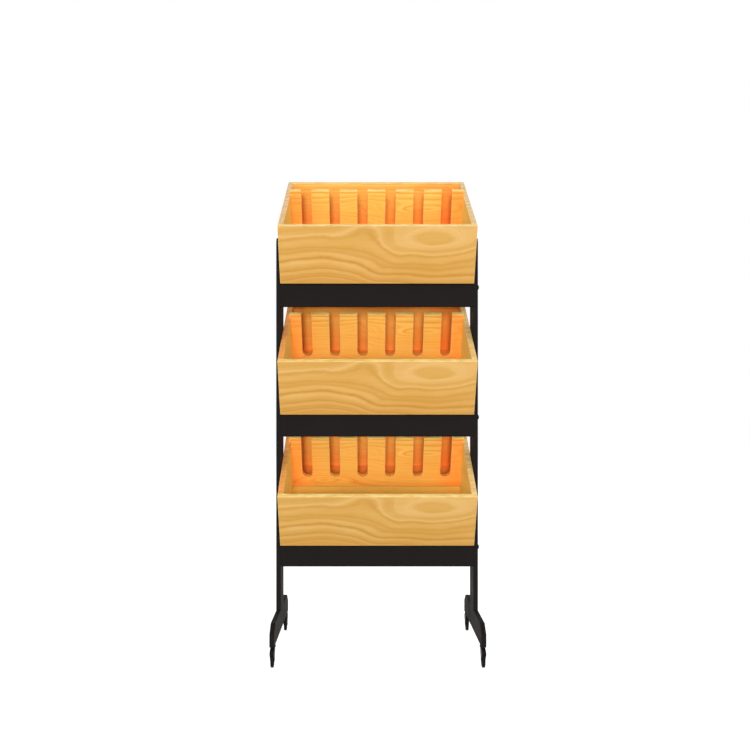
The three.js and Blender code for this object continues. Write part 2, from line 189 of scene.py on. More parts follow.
class RackSteelSettings(bpy.types.PropertyGroup):
    """Sizes and colours of the painted frame and its bolts."""

    ease: length("Edge rounding", "Radius of the eased edges of the frame's members", 0.8)
    post_corner: length("Upright corner", "Radius of the uprights' top corners", 18)
    foot_cut_length: length("Foot cut length", "How far the feet's cut top corners reach along the foot", 31)
    foot_cut_drop: length("Foot cut drop", "How far the feet's cut top corners reach down", 21)
    rail_thickness: length("Rail thickness", "Thickness of the angle rails", 2)
    bolt_radius: length("Bolt radius", "Radius of the bolts' shanks", 3)
    head_height: length("Head height", "Height of the domed heads", 3)
    sunk_depth: length("Sunk head", "Depth of the countersunk heads", 3.2)
    foot_head_height: length("Foot bolt head", "Height of the heads under the feet", 5)
    seat_gap: length("Seat gap", "Room round a bolt head in its seat", 0.1)
    socket: length("Socket", "Width of the hexagonal sockets in the bolt heads", 4)
    socket_depth: length("Socket depth", "Depth of the sockets", 1.8)
    paint: colour("Paint", "Powder coat of the frame", (29, 26, 25))
    # paler frame edges: worn paint with a painted highlight
    wear_and_highlight: colour("Worn paint", "Powder coat on the edges", (36, 33, 32))
    bolt: colour("Bolt", "Blackened bolts", (27, 25, 25))


class RackCasterSettings(bpy.types.PropertyGroup):
    """Sizes and colours of the swivel casters."""

    cheek: length("Cheek thickness", "Thickness of the fork's cheeks", 1.2)
    crown: length("Crown thickness", "Thickness of the fork's hood", 2)
    lip: length("Cheek lip", "Depth of the cheeks at the back of the crown", 5)
    bend: length("Fork bend", "Radius of the fork's outer edges", 0.6)
    pin: length("Kingpin radius", "Radius of the pin on which the fork turns", 2.5)
    running_gap: length("Running gap", "Room round the pins", 0.1)
    tread: length("Tread rounding", "Radius of the wheel's outer edges", 1.4)
    fork: colour("Fork", "Satin black steel of fork, stem and axle", (27, 26, 26))
    wheel: colour("Wheel", "Black wheel", (24, 23, 23))


class RackStageSettings(bpy.types.PropertyGroup):
    """The light, the floor and the camera."""

    camera_back: length("Camera distance", "From the crates' top front edges back to the camera", 2254.4)
    camera_left: length("Camera to the left", "From the rack's middle to the camera", 26.85)
    camera_height: length("Camera height", "Height of the camera above the floor", 646.3)
    focal_length: number("Focal length", "Lens in millimetres on a 36 mm sensor", 43.4016)
    shift_x: number("Shift X", "Sideways lens shift", 0.01099)
    shift_y: number("Shift Y", "Upward lens shift", 0.03568)
    ambient: number("Ambient", "Strength of the light from all round", 0.27)
    front: number("Front level", "Light of the lamp by the camera", 0.72)
    top: number("Top level", "Light of the lamp overhead", 0.16)
    side: number("Side level", "Light of each lamp at the front sides", 0.3)
    back: number("Back level", "Light of each lamp behind", 0.5)
    floor_bounce: number("Floor bounce", "How pale the floor is to the rack", 0.4)
    floor_shade: number("Floor shade", "How much light the white floor takes", 0.6)


# Surfaces


def rounded_outline(corners, radii, steps=5):
    """The closed line through the corners, counter-clockwise, with each corner rounded.

    At a corner the arc's centre lies one radius inside both sides, which is the corner less
    r (m + n) / (1 + m.n), where m and n are the outward normals of the sides that meet. The arc's normal
    turns evenly from m to n, and a point of the arc is the centre plus r times that normal. At a hollow
    corner r counts as negative. Gives the points and their outward normals."""
    corners = np.asarray(corners, float)
    radii = np.broadcast_to(np.asarray(radii, float), len(corners))
    ahead = np.roll(corners, -1, 0) - corners
    ahead /= np.linalg.norm(ahead, axis=1, keepdims=True)
    behind = np.roll(ahead, 1, 0)
    first = np.stack([behind[:, 1], -behind[:, 0]], 1)
    second = np.stack([ahead[:, 1], -ahead[:, 0]], 1)
    bend = behind[:, 0] * ahead[:, 1] - behind[:, 1] * ahead[:, 0]
    reach = (np.sign(bend) * radii)[:, None]
    along = (first * second).sum(1)[:, None]
    centres = corners - reach * (first + second) / (1 + along)
    angle = np.arccos(np.clip(along, -1, 1))[:, None]
    t = np.linspace(0, 1, steps + 1)[None, :, None]
    normals = (np.sin((1 - t) * angle) * first[:, None] + np.sin(t * angle) * second[:, None]) / np.sin(angle)
    points = centres[:, None] + reach[:, None] * normals
    return points.reshape(-1, 2), normals.reshape(-1, 2)


def ring_faces(rows, columns, wrap_rows=False):
    """Quads between neighbouring points of a grid whose columns close on themselves."""
    row = np.arange(rows if wrap_rows else rows - 1)[:, None]
    column = np.arange(columns)[None, :]
    above, right = (row + 1) % rows * columns, (column + 1) % columns
    corners = (row * columns + column, row * columns + right, above + right, above + column)
    return np.stack(np.broadcast_arrays(*corners), -1).reshape(-1, 4).tolist()


def pulled(outline, start, end, ease, steps=3):
    """A solid from an outline and its normals, carried along a third axis from start to end.

    At each end the line draws in by ease (1 - cos a) while it runs on by ease sin a, as a goes to a quarter
    turn, so every edge is a quarter circle. Gives points as rows of (first, second, third axis), faces, and a
    mask that is 1 on the eased edges and 0 on the flats."""
    points, normals = outline
    a = np.concatenate([np.linspace(-math.pi / 2, 0, steps + 1), np.linspace(0, math.pi / 2, steps + 1)])
    base = np.where(np.arange(len(a)) <= steps, start + ease, end - ease)
    inset = ease * (1 - np.cos(a))
    flat = points[None] - inset[:, None, None] * normals[None]
    depth = np.broadcast_to((base + ease * np.sin(a))[:, None, None], (*flat.shape[:2], 1))
    columns = len(points)
    grid = np.concatenate([flat, depth], 2).reshape(-1, 3)
    caps = [list(range(columns))[::-1], list(range((len(a) - 1) * columns, len(a) * columns))]
    lean = np.abs(np.sin(a))
    wear_and_highlight = np.repeat((lean > 0.01) & (lean < 0.99), columns).astype(float)
    return grid, ring_faces(len(a), columns) + caps, wear_and_highlight


def turned(profile, segments=32):
    """A solid turned about the third axis: a point of the profile (radius, height) goes to
    (radius cos b, radius sin b, height) as b goes once round. Flat discs close the first and last rings."""
    profile = np.asarray(profile, float)
    b = np.linspace(0, 2 * math.pi, segments, endpoint=False)
    ring = np.stack([np.cos(b), np.sin(b)], 1)
    flat = profile[:, None, :1] * ring[None]
    height = np.broadcast_to(profile[:, None, 1:], (*flat.shape[:2], 1))
    grid = np.concatenate([flat, height], 2).reshape(-1, 3)
    rows = len(profile)
    caps = [list(range(segments))[::-1], list(range((rows - 1) * segments, rows * segments))]
    return grid, ring_faces(rows, segments) + caps, np.zeros(len(grid))


def turned_ring(profile, segments=72):
    """As turned, for a closed profile that doesn't touch the axis, such as a wheel with its bore."""
    profile = np.asarray(profile, float)
    grid, _, wear_and_highlight = turned(profile, segments)
    return grid, ring_faces(len(profile), segments, wrap_rows=True), wear_and_highlight


def placed(surface, axes, origin=(0, 0, 0)):
    """A surface with its three axes laid along the given ones, and its origin moved."""
    points, faces, wear_and_highlight = surface
    return points @ np.asarray(axes, float) + np.asarray(origin, float), faces, wear_and_highlight


ALONG_X = ((0, 1, 0), (0, 0, 1), (1, 0, 0))  # an outline in Y and Z, pulled along X
ALONG_Z = ((1, 0, 0), (0, 1, 0), (0, 0, 1))
TO_FRONT = ((1, 0, 0), (0, 0, 1), (0, -1, 0))  # an outline in X and Z, pulled along -Y
TO_LEFT = ((0, 1, 0), (0, 0, -1), (-1, 0, 0))  # a turned piece's top points along -X
DOWN = ((1, 0, 0), (0, -1, 0), (0, 0, -1))  # a turned piece's top points down
BACKWARD = ((-1, 0, 0), (0, -1, 0), (0, 0, 1))  # half a turn about Z
CORNER = 1.25  # an outline's corner radius over the ease, so that the drawn-in ends keep their corners
OVERRUN = 0.002  # how far a cutter runs past the surface that it opens


def box_outline(low, high, radii, steps=3):
    """A rectangle between two corners of the plane, with rounded corners."""
    (x0, y0), (x1, y1) = low, high
    return rounded_outline([(x0, y0), (x1, y0), (x1, y1), (x0, y1)], radii, steps)


def board(low, high, ease):
    """A box with every edge eased, pulled along X."""
    outline = box_outline(low[1:], high[1:], CORNER * ease)
    return placed(pulled(outline, low[0], high[0], ease), ALONG_X)


def bevelled_bar(node, ease):
    """A bar pulled along X, whose top rises to the back at the crates' tilt."""
    low, high = row_box(node)
    front_top = high[2] - (high[1] - low[1]) * math.tan(TILT)
    corners = [(low[1], low[2]), (high[1], low[2]), (high[1], high[2]), (low[1], front_top)]
    outline = rounded_outline(corners, CORNER * ease, 3)
    return placed(pulled(outline, low[0], high[0], ease), ALONG_X)


def angle_rail(low, high, thickness, side, ease):
    """An L section in X and Z, pulled along Y: the flat leg on top, the upright leg on the outer side."""
    outer, inner = (high[0], low[0]) if side == "right" else (low[0], high[0])
    step = math.copysign(thickness, inner - outer)
    corners = [(outer, high[2]), (inner, high[2]), (inner, high[2] - thickness),
               (outer + step, high[2] - thickness), (outer + step, low[2]), (outer, low[2])]
    if side == "left":
        corners = corners[::-1]
    outline = rounded_outline(corners, CORNER * ease, 3)
    return placed(pulled(outline, -high[1], -low[1], ease), TO_FRONT)


def tilted(surface, tier):
    """A surface in a crate's own axes, brought to the row's."""
    points, faces, wear_and_highlight = surface
    return points @ tilt_matrix().T + tier_origin(tier), faces, wear_and_highlight


# Pieces


def linked(name, data):
    """An object with this data, put into the scene."""
    made = bpy.data.objects.new(name, data)
    bpy.context.scene.collection.objects.link(made)
    return made


def new_piece(name, surface, material):
    """A mesh object at the origin, its place in its mesh, with the eased-edge mask for wear and painted
    highlight as an attribute.
    """
    points, faces, wear_and_highlight = surface
    mesh = bpy.data.meshes.new(name)
    mesh.from_pydata(points.tolist(), [], faces)
    mesh.attributes.new("wear_and_highlight", "FLOAT", "POINT").data.foreach_set("value", wear_and_highlight.astype(np.float32))
    mesh.shade_smooth()
    mesh.materials.append(material)
    return linked(name, mesh)


def cut_away(piece, surfaces):
    """Takes the given solids out of the piece, for good."""
    cutters = [new_piece(f"{piece.name}_cutter_{i}", surface, piece.data.materials[0])
               for i, surface in enumerate(surfaces)]
    for cutter in cutters:
        modifier = piece.modifiers.new("Cut", "BOOLEAN")
        modifier.object = cutter
        modifier.solver = "EXACT"
    evaluated = piece.evaluated_get(bpy.context.evaluated_depsgraph_get())
    mesh = bpy.data.meshes.new_from_object(evaluated)
    piece.modifiers.clear()
    piece.data = mesh
    for cutter in cutters:
        bpy.data.objects.remove(cutter)


def copied(piece, name, axes, origin):
    """A copy of the piece whose mesh is laid along the given axes and moved."""
    mesh = piece.data.copy()
    rows = np.column_stack([np.asarray(axes, float).T, origin]).tolist()
    mesh.transform(Matrix((*rows, (0, 0, 0, 1))))
    return linked(name, mesh)


def soften(piece, width):
    """Bevels the piece's sharp edges."""
    modifier = piece.modifiers.new("Soft edges", "BEVEL")
    modifier.width, modifier.segments = width, 2
    modifier.limit_method, modifier.angle_limit = "ANGLE", SHARP


def settle(piece, body, node):
    """The piece stands for its node and rides on a body."""
    piece.data.set_sharp_from_angle(angle=SHARP)
    piece.modifiers.new("Even shading", "WEIGHTED_NORMAL").keep_sharp = True
    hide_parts(node)
    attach(piece, body)


def add_piece(name, surface, body, slot, node, material=None, cuts=(), bevel=0.0):
    """Makes a piece in its slot's material or another one, with cuts and bevelled edges, and settles it."""
    piece = new_piece(name, surface, material or slot_material(slot))
    if cuts:
        cut_away(piece, cuts)
    if bevel:
        soften(piece, bevel)
    settle(piece, body, node)


# Materials


class Graph:
    """A short way to write a node tree: number inputs are set, and sockets are linked."""

    def __init__(self, tree):
        self.tree = tree

    def feed(self, made, inputs):
        for key, value in inputs.items():
            if isinstance(value, bpy.types.NodeSocket):
                self.tree.links.new(value, made.inputs[key])
            else:
                made.inputs[key].default_value = value
        return made

    def node(self, kind, inputs=(), **settings):
        made = self.tree.nodes.new(kind)
        for key, value in settings.items():
            setattr(made, key, value)
        return self.feed(made, dict(inputs))

    def effect(self, name, **inputs):
        """The outputs of one of the shared effects."""
        return self.node("ShaderNodeGroup", inputs, node_tree=effect_group(name)).outputs

    def math(self, operation, *values, clamp=False):
        return self.node("ShaderNodeMath", enumerate(values), operation=operation, use_clamp=clamp).outputs[0]

    def times(self, first, second, rest=None, clamp=False):
        """The product of two values, and the rest on top where it is given."""
        if rest is None:
            return self.math("MULTIPLY", first, second, clamp=clamp)
        return self.math("MULTIPLY_ADD", first, second, rest, clamp=clamp)

    def mix(self, share, first, second):
        inputs = {0: share, 6: first, 7: second}
        return self.node("ShaderNodeMix", inputs, data_type="RGBA").outputs[2]

    def ramp(self, value, low, high, bottom=0.0, top=1.0):
        """The value carried from low..high to bottom..top, smoothly, and held at the ends."""
        inputs = enumerate((value, low, high, bottom, top))
        return self.node("ShaderNodeMapRange", inputs, interpolation_type="SMOOTHSTEP").outputs[0]

    def noise(self, vector, scale, detail=2.0, roughness=0.5):
        inputs = {"Vector": vector, "Scale": scale, "Detail": detail, "Roughness": roughness}
        return self.node("ShaderNodeTexNoise", inputs).outputs[0]

    def noise_along(self, value, scale, detail):
        """Noise that changes with one number only."""
        inputs = {"W": value, "Scale": scale, "Detail": detail}
        return self.node("ShaderNodeTexNoise", inputs, noise_dimensions="1D").outputs[0]

    def stretched(self, vector, scale, location=(0, 0, 0), turn=(0, 0, 0)):
        inputs = {"Vector": vector, "Scale": scale, "Location": location, "Rotation": turn}
        return self.node("ShaderNodeMapping", inputs).outputs[0]


def effect_group(name):
    """The shader node group of one of the EFFECTS, with named sockets, built once."""
    if name in bpy.data.node_groups:
        return bpy.data.node_groups[name]
    build, inputs, outputs = EFFECTS[name]
    tree = bpy.data.node_groups.new(name, "ShaderNodeTree")
    for in_out, sockets in (("INPUT", inputs), ("OUTPUT", outputs)):
        for socket, kind in sockets.items():
            tree.interface.new_socket(socket, in_out=in_out, socket_type=kind)
    graph = Graph(tree)
    made = build(graph, graph.node("NodeGroupInput").outputs)
    graph.node("NodeGroupOutput", {i: made[socket] for i, socket in enumerate(outputs)})
    return tree


# Swells of the figure: place along and down the board, reach both ways, and height, in metres
FIGURE_SWELLS = (
    (0.392, 0.038, 0.095, 0.028, -0.074),
    (0.385, 0.115, 0.125, 0.080, -0.040),
    (0.225, 0.000, 0.060, 0.040, 0.036),
    (0.300, 0.075, 0.030, 0.030, -0.014),
    (0.265, 0.115, 0.040, 0.030, -0.012),
    (0.500, 0.130, 0.050, 0.050, -0.014),
    (0.100, 0.100, 0.075, 0.110, 0.014),
    (0.110, 0.190, 0.120, 0.045, 0.070),
    (0.240, 0.150, 0.035, 0.030, -0.014),
)
# Lines of the figure: depth in the rings, half width, and how pale (over 0) or dark (under 0)
FIGURE_LINES = (
    (-0.020, 0.0110, 1.00),
    (0.001, 0.0090, 0.50),
    (0.014, 0.0050, -0.15),
    (0.030, 0.0050, 0.80),
    (0.041, 0.0032, -0.56),
    (0.052, 0.0050, 0.20),
    (0.066, 0.0032, -0.62),
    (0.077, 0.0026, -0.42),
    (0.087, 0.0040, 0.30),
    (0.098, 0.0036, -1.00),
    (0.109, 0.0055, 0.50),
    (0.129, 0.0032, -0.80),
    (0.139, 0.0045, 0.50),
    (0.150, 0.0024, -0.36),
    (0.160, 0.0032, -0.75),
    (0.169, 0.0040, 0.55),
)
EYE_CORE = (-0.046, -0.034)  # between these depths the fine rings fade out towards the eye's core
BEYOND, BEYOND_RINGS = (0.15, 0.185), 0.35  # past these depths the fine rings grow stronger by this much
WANDER, WANDER_DEPTH = (10, 30, 30), 0.020  # how the slow wander is stretched, and how deep it goes
RING_LEAN = 0.6  # how much deeper the rings lie for each metre into the board
RINGS = 118.0  # fine rings in a metre of depth
RING_DRIFT, RING_SHIFT = 75.0, 3.0  # the scale of the noise that moves the rings, and by how many rings
RING_RISE, RING_END = (0.3, 0.85), (1.0, 0.88)  # where in a ring its late wood darkens, and where it ends
RING_PATCHES = 61.0  # the scale of the noise that makes some rings stronger
RING_STRENGTH = (0.36, 0.7, 0.06, 0.42)  # noise between the first two gives a strength between the last two
CLOUDS, FIBRES = (7, 30, 30), (10, 700, 700)  # how the clouds of tone and the fibres are stretched
CLOUD_SHARE, DARK_SHARE, FIBRE_SHARE = 0.34, 0.72, 0.22  # how far each goes over to its colour
EDGE_BANDS, SAW_MARKS = (20, 75, 20), (40, 420, 40)  # how both are stretched on a sawn edge


def bell(graph, value, middle, reach):
    """1 where the value meets the middle, falling off as exp(-x^2), with x the distance over the reach."""
    across = graph.math("DIVIDE", graph.math("SUBTRACT", value, middle), reach)
    return graph.math("EXPONENT", graph.times(graph.times(across, across), -1.0))


def build_figure(graph, entry):
    """How deep in the tree's rings a point lies: its place down the board, with smooth swells that close the
    rings into the eye at the upper right and the long oval at the lower left, and a slow wander. The tone is
    the sum of the figure's lines at that depth."""
    split = graph.node("ShaderNodeSeparateXYZ", {0: entry["Place"]}).outputs
    wander = graph.noise(graph.stretched(entry["Place"], WANDER), 1.0, 5.0, 0.62)
    depth = graph.times(graph.math("SUBTRACT", wander, 0.5), WANDER_DEPTH, split[1])
    for along, down, reach_along, reach_down, height in FIGURE_SWELLS:
        across = bell(graph, split[0], along, reach_along)
        swell = graph.times(across, bell(graph, split[1], down, reach_down))
        depth = graph.times(swell, height, depth)
    depth = graph.times(split[2], RING_LEAN, depth)
    tone = 0.0
    for middle, reach, strength in FIGURE_LINES:
        tone = graph.times(bell(graph, depth, middle, reach), strength, tone)
    return {"Depth": depth, "Tone": tone}


def build_grain(graph, entry):
    """Wood colour from the ring depth: the figure's pale and dark lines, fine rings that darken slowly and
    end sharply, slow clouds of tone, and fibres along the board. The eye's core has no fine rings."""
    depth, tone = entry["Depth"], entry["Tone"]
    cloud = graph.ramp(graph.noise(graph.stretched(entry["Place"], CLOUDS), 1.0, 3.0), 0.3, 0.7)
    uneven = graph.noise_along(depth, RING_DRIFT, 2.0)
    ring = graph.math("FRACT", graph.times(depth, RINGS, graph.times(uneven, RING_SHIFT)))
    late = graph.times(graph.ramp(ring, *RING_RISE), graph.ramp(ring, *RING_END))
    strength = graph.ramp(graph.noise_along(depth, RING_PATCHES, 1.0), *RING_STRENGTH)
    strength = graph.math("ADD", strength, graph.times(graph.ramp(depth, *BEYOND), BEYOND_RINGS))
    strength = graph.times(strength, graph.ramp(depth, *EYE_CORE))
    fibre = graph.noise(graph.stretched(entry["Place"], FIBRES), 1.0, 3.0, 0.6)
    lines = graph.math("MAXIMUM", graph.times(tone, -1.0), 0.0)
    dark = graph.math("ADD", graph.times(late, strength), lines, clamp=True)
    light = graph.times(cloud, CLOUD_SHARE, graph.math("MAXIMUM", tone, 0.0), clamp=True)
    body = graph.mix(light, entry["Middle"], entry["Pale"])
    ringed = graph.mix(graph.times(dark, DARK_SHARE), body, entry["Dark"])
    streak = graph.ramp(fibre, 0.5, 0.8, 0.0, FIBRE_SHARE)
    height = graph.times(fibre, 0.6, graph.times(dark, 0.4))
    return {"Colour": graph.mix(streak, ringed, entry["Dark"]), "Height": height}


def build_board_edge(graph, entry):
    """The sawn edge of a board: bands across the side boards' thickness, and finer saw marks between them."""
    bands = graph.noise(graph.stretched(entry["Place"], EDGE_BANDS), 1.0, 2.0)
    saw = graph.noise(graph.stretched(entry["Place"], SAW_MARKS), 1.0, 1.0)
    share = graph.times(saw, 0.5, graph.times(bands, 0.6))
    return {"Colour": graph.mix(graph.ramp(share, 0.38, 0.7), entry["Pale"], entry["Dark"])}


# Powder coat: the noise scales of its surface, clouds, specks and rubbing, and how far each pales the paint;
# the rubbing pales the edges as worn paint with a painted highlight
PEEL, COAT_CLOUDS, SPECKS, RUBBING = 1400.0, 9.0, 420.0, 60.0
COAT_CLOUD_SHARE, SPECK_SHARE, WEAR_AND_HIGHLIGHT_SHARE = 0.22, 0.15, 0.8
COAT_ROUGHNESS = (0.6, 0.74)


def build_coat(graph, entry):
    """Powder coat: a fine orange-peel height, a slow change of gloss, and paler paint on the edges, worn
    paint with a painted highlight.
    """
    cloud = graph.noise(entry["Place"], COAT_CLOUDS, 4.0, 0.6)
    specks = graph.ramp(graph.noise(entry["Place"], SPECKS, 2.0), 0.66, 0.74)
    rub_and_highlight = graph.times(entry["Worn"], graph.ramp(graph.noise(entry["Place"], RUBBING, 3.0), 0.35, 0.65))
    mixed = graph.mix(graph.times(rub_and_highlight, WEAR_AND_HIGHLIGHT_SHARE), entry["Colour"], entry["Edge"])
    tint = graph.mix(graph.times(cloud, COAT_CLOUD_SHARE), mixed, entry["Edge"])
    return {
        "Colour": graph.mix(graph.times(specks, SPECK_SHARE), tint, entry["Edge"]),
        "Roughness": graph.ramp(cloud, 0.3, 0.7, *COAT_ROUGHNESS),
        "Height": graph.noise(entry["Place"], PEEL, 2.0),
    }


VECTOR, COLOUR, VALUE = "NodeSocketVector", "NodeSocketColor", "NodeSocketFloat"
# The effects that materials share: how each is built, its inputs and its outputs
EFFECTS = {
    "Board figure": (build_figure, {"Place": VECTOR}, {"Depth": VALUE, "Tone": VALUE}),
    "Wood grain": (
        build_grain,
        {"Place": VECTOR, "Depth": VALUE, "Tone": VALUE, "Pale": COLOUR, "Middle": COLOUR, "Dark": COLOUR},
        {"Colour": COLOUR, "Height": VALUE},
    ),
    "Board edge": (build_board_edge, {"Place": VECTOR, "Pale": COLOUR, "Dark": COLOUR}, {"Colour": COLOUR}),
    "Powder coat": (
        build_coat,
        {"Place": VECTOR, "Colour": COLOUR, "Edge": COLOUR, "Worn": VALUE},
        {"Colour": COLOUR, "Roughness": VALUE, "Height": VALUE},
    ),
}


def new_material(name):
    """A material with a Principled shader and its output, the Object coordinates and the eased-edge mask for
    wear and painted highlight.
    """
    material = bpy.data.materials.new(name)
    material.use_nodes = True
    graph = Graph(material.node_tree)
    shader = next(n for n in graph.tree.nodes if n.type == "BSDF_PRINCIPLED")
    place = graph.node("ShaderNodeTexCoord").outputs["Object"]
    wear_and_highlight = graph.node("ShaderNodeAttribute", attribute_name="wear_and_highlight").outputs["Fac"]
    return material, graph, shader, place, wear_and_highlight


def opaque(values):
    return (*values, 1.0)


# How a board's own axes read its figure: the axis along the grain, the axis down the figure,
# how much the figure is drawn out down the board, and where along and down it starts, in metres
BOARD_FIGURES = {
    "front_board": ((1, 0, 0), (0, 0, -1), 1.0, (0.25, 0.0)),
    "slotted_panel": ((1, 0, 0), (0, 0, -1), 2.0, (0.25, -0.046)),
    "back_board": ((1, 0, 0), (0, 0, -1), 1.8, (0.27, -0.09)),
    "floor": ((1, 0, 0), (0, -1, 0), 1.0, (0.25, 0.139)),
    "left_side": ((0, 1, 0), (0, 0, -1), 1.0, (0.06, 0.01)),
    "right_side": ((0, 1, 0), (0, 0, -1), 1.0, (-0.05, 0.03)),
}
# The inner colour of each board: its share of the painted light tone, and of the painted shade tone low in
# the crate, behind the slotted panel and towards its ends, where the side boards' shadow is painted, and the
# place along it, in metres, that the ends are measured from
INNER_TONES = {
    "front_board": (0.3, 0.1, 0.0, 0.0, 0.0),
    "slotted_panel": (0.0, 0.1, 0.0, 0.36, 0.0),
    "back_board": (0.0, 0.05, 0.46, 0.3, -0.05),
    "floor": (0.9, 0.0, 0.75, 0.0, 0.0),
    "left_side": (0.95, 0.0, 0.6, 0.0, 0.0),
    "right_side": (0.95, 0.0, 0.6, 0.0, 0.0),
}
PAINTED_LIGHT_GRAIN = (1.0, 0.94, 0.80)  # how much of the painted light tone its pale wood, body and dark lines keep
END_SHADOW_FROM, END_SHADOW_TO = 0.14, 0.23  # the painted shadow towards the ends grows between these distances
FOOT_FROM, FOOT_SHARE = -0.085, 0.4  # below this height the outer faces grow darker towards the bottom, up to this share of the outer dark colour
# The tone and its share on the top edges of the upper crate, and of the crates below: painted light, grey
# where the top light falls on the upper crate, warm in the shade of the crates below, bright as a painted
# highlight
EDGE_TONES = {
    "front_board": (("edge_painted_highlight", 0.2), ("edge_painted_highlight", 0.4)),
    "slotted_panel": (("edge_painted_highlight", 0.9), ("edge_painted_highlight", 1.0)),
    "back_board": (("edge_lit_grey", 0.0), ("edge_painted_highlight", 0.9)),
    "left_side": (("edge_lit_grey", 0.9), ("edge_shaded_warm", 0.9)),
    "right_side": (("edge_lit_grey", 0.6), ("edge_shaded_warm", 0.15)),
}
CRATE_PARTS = tuple(BOARD_FIGURES)
OUTER_SKIN = 0.002  # what lies this near the crate's outer sides and underside has the outer colours
EDGE_HIGHLIGHT_SHARE = 0.4  # painted highlight: how far the eased edges go over to the sawn edge's colour


def crate_bounds(tier):
    """The lowest and highest corner of a whole crate in its own axes."""
    corners = [crate_box(tier, f"crate_{part}") for part in CRATE_PARTS if part != "slotted_panel"]
    return np.min([low for low, _ in corners], 0), np.max([high for _, high in corners], 0)


def outside_of(graph, split, crate_low, crate_high):
    """1 near the crate's outer sides and underside, where 0 lies inside: the largest of the four tests."""
    middle, half = (crate_low[0] + crate_high[0]) / 2, (crate_high[0] - crate_low[0]) / 2
    sideways = graph.math("ABSOLUTE", graph.math("SUBTRACT", split[0], middle))
    found = graph.math("GREATER_THAN", sideways, half - OUTER_SKIN)
    for operation, axis, limit in (
        ("LESS_THAN", 1, crate_low[1] + OUTER_SKIN),
        ("GREATER_THAN", 1, crate_high[1] - OUTER_SKIN),
        ("LESS_THAN", 2, crate_low[2] + OUTER_SKIN),
    ):
        found = graph.math("MAXIMUM", found, graph.math(operation, split[axis], limit))
    return found


def wood_material(tier, part):
    """The wood of one board of one crate, set by the crate's own axes, with painted light and shade inside
    the crate and painted highlights on the edges.
    """
    wood = bpy.context.scene.rack_wood
    _, high = crate_box(tier, f"crate_{part}")
    material, graph, shader, place, wear_and_highlight = new_material(f"{tier} {part} wood".replace("_", " "))
    own = graph.node(
        "ShaderNodeMapping",
        {"Vector": place, "Location": tuple(tier_origin(tier)), "Rotation": (TILT, 0, 0)},
        vector_type="TEXTURE",
    ).outputs[0]
    along, down, draw, (start_along, start_down) = BOARD_FIGURES[part]
    along, down = np.array(along, float), np.array(down, float)
    turn = Matrix(np.stack([along, down, np.cross(along, down)]).tolist()).to_euler("XYZ")
    scale = np.where(np.abs(down) > 0.5, draw, 1.0)
    figure_place = graph.stretched(own, tuple(scale), (start_along, start_down, 0), tuple(turn))
    figure = graph.effect("Board figure", Place=figure_place)

    def grain(pale, middle, dark):
        return graph.effect("Wood grain", Place=figure_place, Depth=figure["Depth"], Tone=figure["Tone"],
                            Pale=opaque(pale), Middle=opaque(middle), Dark=opaque(dark))

    painted_light_share, low_shade_share, behind_panel_shade_share, end_shadow_share, between_ends = INNER_TONES[part]
    # painted light: lightens the inner faces towards the light tone, to make up for the shade inside the
    # crate
    light = np.array(wood.inner_painted_light)
    inner = grain(*(
        (1 - painted_light_share) * np.array(plain) + painted_light_share * kept * light
        for plain, kept in zip((wood.inner_pale, wood.inner_middle, wood.inner_dark), PAINTED_LIGHT_GRAIN)
    ))
    split = graph.node("ShaderNodeSeparateXYZ", {0: own}).outputs
    panel_low, panel_high = crate_box(tier, "crate_slotted_panel")
    # painted shade: deeper behind the slotted panel, and the side boards' painted shadow towards the ends
    deep = graph.ramp(split[1], (panel_low[1] + panel_high[1]) / 2, panel_high[1], low_shade_share,
                      low_shade_share + behind_panel_shade_share)
    away = graph.math("ABSOLUTE", graph.math("SUBTRACT", split[0], between_ends))
    ends = graph.ramp(away, END_SHADOW_FROM, END_SHADOW_TO, 0.0, end_shadow_share)
    crate_low, crate_high = crate_bounds(tier)
    # painted shade: the inner faces go over to the deep tone low in the crate
    sunk = graph.times(graph.ramp(split[2], 0.0, crate_low[2]), deep, ends, clamp=True)
    face_colour, height = graph.mix(sunk, inner["Colour"], opaque(wood.inner_painted_shade)), inner["Height"]
    if part != "slotted_panel":
        outer = grain(wood.outer_pale, wood.outer_middle, wood.outer_dark)
        # the outer faces grow darker towards the bottom
        foot = graph.ramp(split[2], FOOT_FROM, crate_low[2], 0.0, FOOT_SHARE)
        outer_colour = graph.mix(foot, outer["Colour"], opaque(wood.outer_dark))
        # the inner faces keep their brighter, more orange tones, painted bounce light; the outer faces take
        # the outer wood
        face_colour = graph.mix(outside_of(graph, split, crate_low, crate_high), face_colour, outer_colour)
    # painted light on the top edges, set per tier
    if part in EDGE_TONES:
        tone, share = EDGE_TONES[part][tier != TIERS[-1]]
        pale = (1 - share) * np.array(wood.edge_pale) + share * np.array(getattr(wood, tone))
        dark = pale * np.array(wood.edge_shade)
        edge = graph.effect("Board edge", Place=own, Pale=opaque(pale), Dark=opaque(dark))
        on_top = graph.math("GREATER_THAN", split[2], high[2] - wood.ease * 0.8)
        face_colour = graph.mix(on_top, face_colour, edge["Colour"])
    # painted highlight on every eased edge
    face_colour = graph.mix(graph.times(wear_and_highlight, EDGE_HIGHLIGHT_SHARE), face_colour, opaque(wood.edge_pale))
    bump = graph.node("ShaderNodeBump", {"Height": height, "Strength": 0.25, "Distance": 0.0003})
    graph.feed(shader, {
        "Base Color": face_colour,
        "Roughness": graph.ramp(height, 0.2, 0.8, 0.42, 0.56),
        "Normal": bump.outputs[0],
        "Specular IOR Level": 0.2,
    })
    return material


